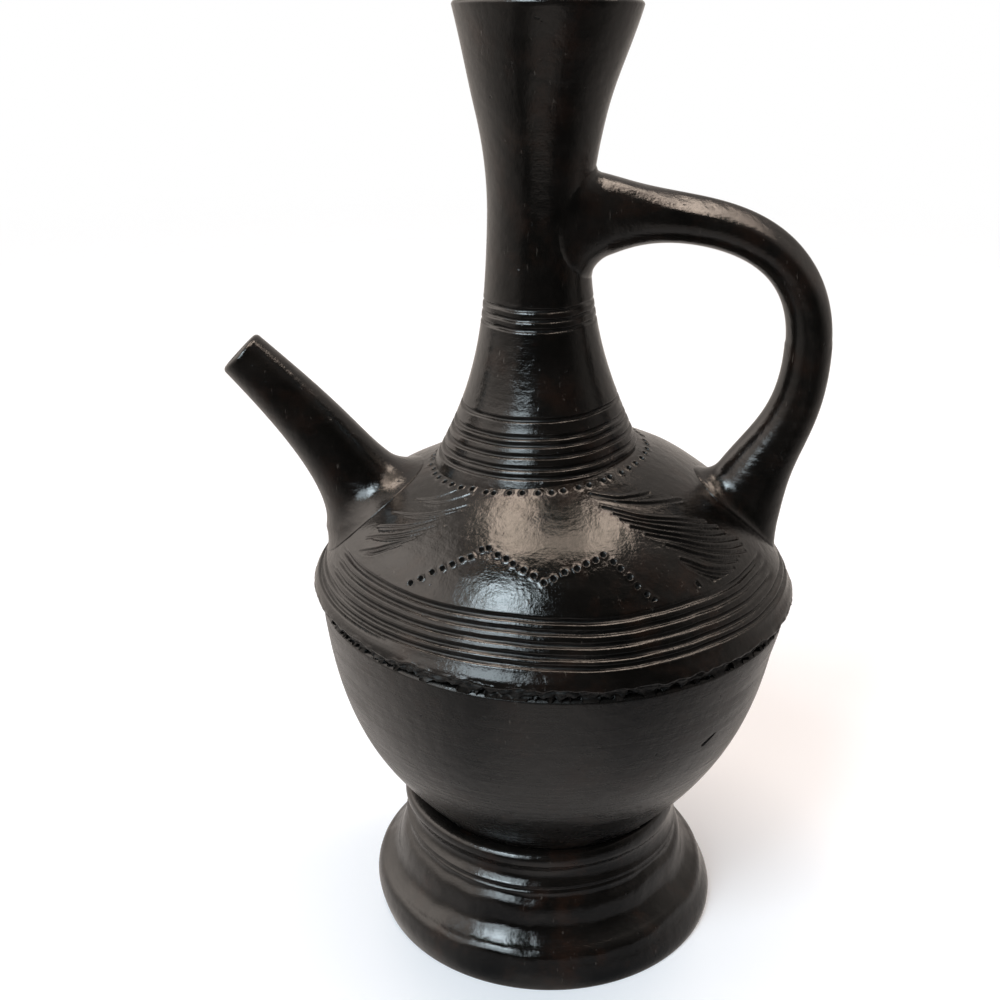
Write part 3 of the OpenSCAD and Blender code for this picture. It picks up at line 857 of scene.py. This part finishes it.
class JEBENA_OT_handle(Operator):
    """Builds the looped handle"""
    bl_idname = "jebena.handle"
    bl_label = "Handle"

    def execute(self, context):
        seam, seat, fillet, edge = size("seam_z"), size("seat_z"), size("root_fillet"), size("luted_edge")
        shift, sunk, skirt = size("neck_shift"), 0.25, 0.02
        bar_r, bar_side, flat_r, flat_soft = 6.1, 6.9, 5.2, 0.9
        top = Vector((0.45 * size("waist_r") - shift, seat + WAIST_UP))
        side = Vector((68, seam + 71.6))
        root = Vector((size("bowl_r") - 15.8, seam + 13.8))
        upper = arch(top, side, (0.78, -0.17), (0, 0.66), 200)
        lower = arch(side, root, (0, 0.48), (0.28, 0.5), 200)
        dome = Turned(dome_path(), upright=False)
        collar, funnel = neck_path()
        neck = Turned(collar + funnel[1:], shift=shift)
        flat = Vector((-cos(radians(62)), sin(radians(62))))
        spans = {}

        def spread(share):
            """A root's spread, which grows towards the root and levels off."""
            return share / hypot(1, share)

        def bar(u, t):
            """A point of the bar and its centre: on the upper half up to t = 1, then on the lower."""
            more = 6.8 * spread(exp((0.07 - t) * 17)) if t <= 1 else 7 * spread(exp((t - 1.8) * 4.6))
            point, along = heading(upper, t) if t <= 1 else heading(lower, t - 1)
            centre = Vector((point.x, 0, point.y))
            p = section(point, along, bar_r + more, bar_side + 0.45 * more, u)
            # The hand flattened the top towards the front
            up = (p - centre).dot(Vector((-along.y, 0, along.x)))
            over = Vector((p.y, up)).dot(flat) - flat_r - more
            cut = 0.5 * (over + hypot(over, flat_soft)) * smooth(0.1, 0.25, t) * (1 - smooth(0.6, 1.0, t))
            return p - cut * Vector((-along.y * flat.y, flat.x, along.x * flat.y)), centre

        def soft(u):
            """The fillets at neck and shoulder: wide in the crook, small on the outer side."""
            crook = smooth(0.1, 0.9, (1 - cos(tau * u)) / 2)
            flank = sin(tau * u) ** 2
            return 2.0 + 3.0 * crook + 3.5 * flank, 1.0 + (fillet - 1.0) * crook

        def place(u, v):
            """From inside the neck along the bar to inside the shoulder, with closer rows at both ends."""
            if u not in spans:
                spans[u] = leaves(bar, u, neck, 0.0, 0.5, -sunk), leaves(bar, u, dome, 2.0, 1.4, edge)
            t0, t1 = spans[u]
            at_neck, at_dome = soft(u)
            if v < skirt:
                return sunk_end(rooted(*bar(u, t0), neck, at_neck, sunk), neck, 1 - v / skirt)
            if v > 1 - skirt:
                return sunk_end(rooted(*bar(u, t1), dome, at_dome), dome, (v - 1 + skirt) / skirt)
            s = (v - skirt) / (1 - 2 * skirt)
            s -= 0.06 * sin(tau * s)
            point, centre = bar(u, t0 + (t1 - t0) * s)
            return rooted(rooted(point, centre, neck, at_neck, sunk), centre, dome, at_dome)
        bm = rolled(56, 200, place)
        finish(bm, "loop_handle", "handle", "pot", fired_clay(*BURNISHED))
        return {"FINISHED"}


# Stage, in metres

WARM, COOL, WHITE = (1, 0.82, 0.68), (0.8, 0.93, 1), (1, 1, 1, 1)
# A warm panel overhead, brighter at its sides, front and back right, and a tall cool one at the front left:
# name, place, turn in degrees, width, height, watts and colour
LAMPS = (
    ("ceiling_panel", (0, 0.27, 1.65), (0, 0, 0), 1.2, 0.96, 5, WARM),
    ("ceiling_left", (-0.42, 0.27, 1.64), (0, 0, 0), 0.3, 0.96, 6.8, WARM),
    ("ceiling_right", (0.48, 0.27, 1.64), (0, 0, 0), 0.24, 0.96, 5.6, WARM),
    ("ceiling_front", (0.03, -0.08, 1.64), (0, 0, 0), 0.66, 0.26, 1.6, WARM),
    ("ceiling_back", (0.95, 0.62, 1.64), (0, 0, 0), 0.7, 0.26, 3.4, WARM),
    ("window_high", (-0.85, -1.25, 2.0), (90, 0, -34), 0.8, 0.95, 40, COOL),
    ("window_low", (-0.78, -1.4, 1.08), (90, 0, -29), 0.84, 0.78, 13, COOL),
)
FLOOR_R = 1.4
CAMERA_AT, CAMERA_DOWN, CAMERA_LEFT = (0, -0.35, 0.2759), 22.75, 2.35
LENS_MM, SENSOR_MM = 48.6, 36


class JEBENA_OT_stage(Operator):
    """Sets the floor, the lights, the surroundings and the camera"""
    bl_idname = "jebena.stage"
    bl_label = "Stage"

    def lay_floor(self):
        """Matt paper that takes the shadow. It runs out into the white for the camera, and sooner in the gloss."""
        bm = bmesh.new()
        bmesh.ops.create_circle(bm, cap_ends=True, segments=96, radius=FLOOR_R)
        paper = bpy.data.materials.new("Matt white paper")
        floor = put(bm, "floor", paper)
        tree = bare(paper)
        at = add(tree, "ShaderNodeTexCoord", {}).outputs["Object"]
        reach = add(tree, "ShaderNodeVectorMath", {0: at}, operation="LENGTH").outputs["Value"]
        seen = add(tree, "ShaderNodeLightPath", {}).outputs
        wide, near = (
            add(tree, "ShaderNodeMapRange", {"Value": reach, "From Min": start, "From Max": end, "To Min": least},
                interpolation_type="SMOOTHSTEP").outputs[0]
            for start, end, least in ((0.35, 1.3, 0), (0.1, 0.34, 0.8)))
        fade = add(tree, "ShaderNodeMix", {"Factor": seen["Is Glossy Ray"], "A": wide, "B": near})
        matt = add(tree, "ShaderNodeBsdfDiffuse", {"Color": paint("floor")})
        lift = add(tree, "ShaderNodeMath", {0: seen["Is Camera Ray"], 1: 0.22}, operation="MULTIPLY")
        glow = add(tree, "ShaderNodeEmission", {"Color": WHITE, "Strength": lift.outputs[0]})
        matt = add(tree, "ShaderNodeAddShader", {0: matt.outputs[0], 1: glow.outputs[0]})
        clear = add(tree, "ShaderNodeBsdfTransparent", {})
        both = add(tree, "ShaderNodeMixShader", {"Fac": fade.outputs["Result"], 1: matt.outputs[0],
                                                 2: clear.outputs[0]})
        add(tree, "ShaderNodeOutputMaterial", {"Surface": both.outputs[0]})

    def hang_lamps(self, scene):
        """Soft panels, which also show in the gloss."""
        for name, where, turn, wide, high, power, tone in LAMPS:
            light = bpy.data.lights.new(name, "AREA")
            light.shape, light.size, light.size_y, light.energy, light.color = "RECTANGLE", wide, high, power, tone
            lamp = bpy.data.objects.new(name, light)
            lamp.location, lamp.rotation_euler = where, [radians(a) for a in turn]
            scene.collection.objects.link(lamp)

    def paint_room(self, scene):
        """White for the camera, dim light all round, and in the gloss a room that is pale behind."""
        scene.world = bpy.data.worlds.new("Room")
        tree = bare(scene.world)
        path = add(tree, "ShaderNodeLightPath", {}).outputs
        way = add(tree, "ShaderNodeTexCoord", {}).outputs["Generated"]
        axes = add(tree, "ShaderNodeSeparateXYZ", {0: way}).outputs
        across = add(tree, "ShaderNodeMath", {0: axes["X"]}, operation="ABSOLUTE").outputs[0]
        # Soft steps along the axes of the view: start and end, and the values there
        step = {}
        for key, axis, start, end, first, last in (
                ("behind", axes["Y"], -0.65, 0.45, 0.02, 0.6), ("left", axes["X"], -0.45, -0.8, 0, 1),
                ("left_high", axes["Z"], -0.1, 0.75, 0.25, 2.1), ("low", axes["Z"], -0.3, -0.5, 0, 0.3),
                ("front", axes["Y"], 0, -0.3, 0, 1), ("middle", across, 0.15, 0.45, 1, 0),
                ("right", axes["X"], 0.2, 0.8, 1, 0.65), ("above", axes["Z"], 0.8, 0.95, 1, 0.25)):
            step[key] = add(tree, "ShaderNodeMapRange", {
                "Value": axis, "From Min": start, "From Max": end, "To Min": first, "To Max": last},
                interpolation_type="SMOOTHSTEP").outputs[0]
        # Pale behind, brighter at the left, a weak glow low in front, dimmer at the right and above
        low_front = add(tree, "ShaderNodeMath", {0: step["low"], 1: step["front"]}, operation="MULTIPLY").outputs[0]
        seen = step["behind"]
        for a, b in ((step["left"], step["left_high"]), (low_front, step["middle"])):
            seen = add(tree, "ShaderNodeMath", {0: a, 1: b, 2: seen}, operation="MULTIPLY_ADD").outputs[0]
        for dimmed in (step["right"], step["above"]):
            seen = add(tree, "ShaderNodeMath", {0: seen, 1: dimmed}, operation="MULTIPLY").outputs[0]
        gloss = add(tree, "ShaderNodeMath", {0: path["Is Glossy Ray"], 1: path["Is Transmission Ray"]},
                    operation="MAXIMUM").outputs[0]
        tone = add(tree, "ShaderNodeMix", {"Factor": gloss, "A": WHITE, "B": (1, 0.9, 0.82, 1)}, data_type="RGBA")
        dim = add(tree, "ShaderNodeMix", {"Factor": gloss, "A": 0.3, "B": seen})
        light = add(tree, "ShaderNodeMix", {"Factor": path["Is Camera Ray"], "A": dim.outputs["Result"], "B": 1.0})
        sky = add(tree, "ShaderNodeBackground", {"Color": tone.outputs["Result"], "Strength": light.outputs["Result"]})
        add(tree, "ShaderNodeOutputWorld", {"Surface": sky.outputs[0]})

    def set_camera(self, scene):
        """In front of the pot, looking down on it."""
        lens = bpy.data.cameras.new("camera")
        lens.lens, lens.sensor_width = LENS_MM, SENSOR_MM
        camera = bpy.data.objects.new("camera", lens)
        camera.location = CAMERA_AT
        camera.rotation_euler = (radians(90 - CAMERA_DOWN), 0, radians(CAMERA_LEFT))
        scene.collection.objects.link(camera)
        scene.camera = camera

    def execute(self, context):
        scene = context.scene
        scene.view_settings.view_transform = "Standard"
        self.lay_floor()
        self.hang_lamps(scene)
        self.paint_room(scene)
        self.set_camera(scene)
        return {"FINISHED"}


class JEBENA_PT_pieces(Panel):
    """Lists the pieces in building order, and the sizes and colours"""
    bl_idname = "JEBENA_PT_pieces"
    bl_label = "Jebena coffee pot"
    bl_space_type = "VIEW_3D"
    bl_region_type = "UI"
    bl_category = "Jebena"

    def draw(self, context):
        for operator in PIECES:
            self.layout.operator(operator.bl_idname)
        for group in (context.scene.jebena_sizes, context.scene.jebena_clay):
            box = self.layout.box()
            for name in group.bl_rna.properties.keys():
                if name not in ("rna_type", "name"):
                    box.prop(group, name)


PIECES = (JEBENA_OT_stage, JEBENA_OT_ring_stand, JEBENA_OT_lower_bowl, JEBENA_OT_shoulder, JEBENA_OT_neck,
          JEBENA_OT_spout, JEBENA_OT_handle)
CLASSES = (JebenaSizes, JebenaClay) + PIECES + (JEBENA_PT_pieces,)


def register():
    for made in CLASSES:
        bpy.utils.register_class(made)
    bpy.types.Scene.jebena_sizes = PointerProperty(type=JebenaSizes)
    bpy.types.Scene.jebena_clay = PointerProperty(type=JebenaClay)


def unregister():
    del bpy.types.Scene.jebena_clay
    del bpy.types.Scene.jebena_sizes
    for made in reversed(CLASSES):
        bpy.utils.unregister_class(made)


def main():
    register()
    for operator in PIECES:
        group, name = operator.bl_idname.split(".")
        getattr(getattr(bpy.ops, group), name)()
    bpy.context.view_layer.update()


if __name__ == "__main__":
    main()
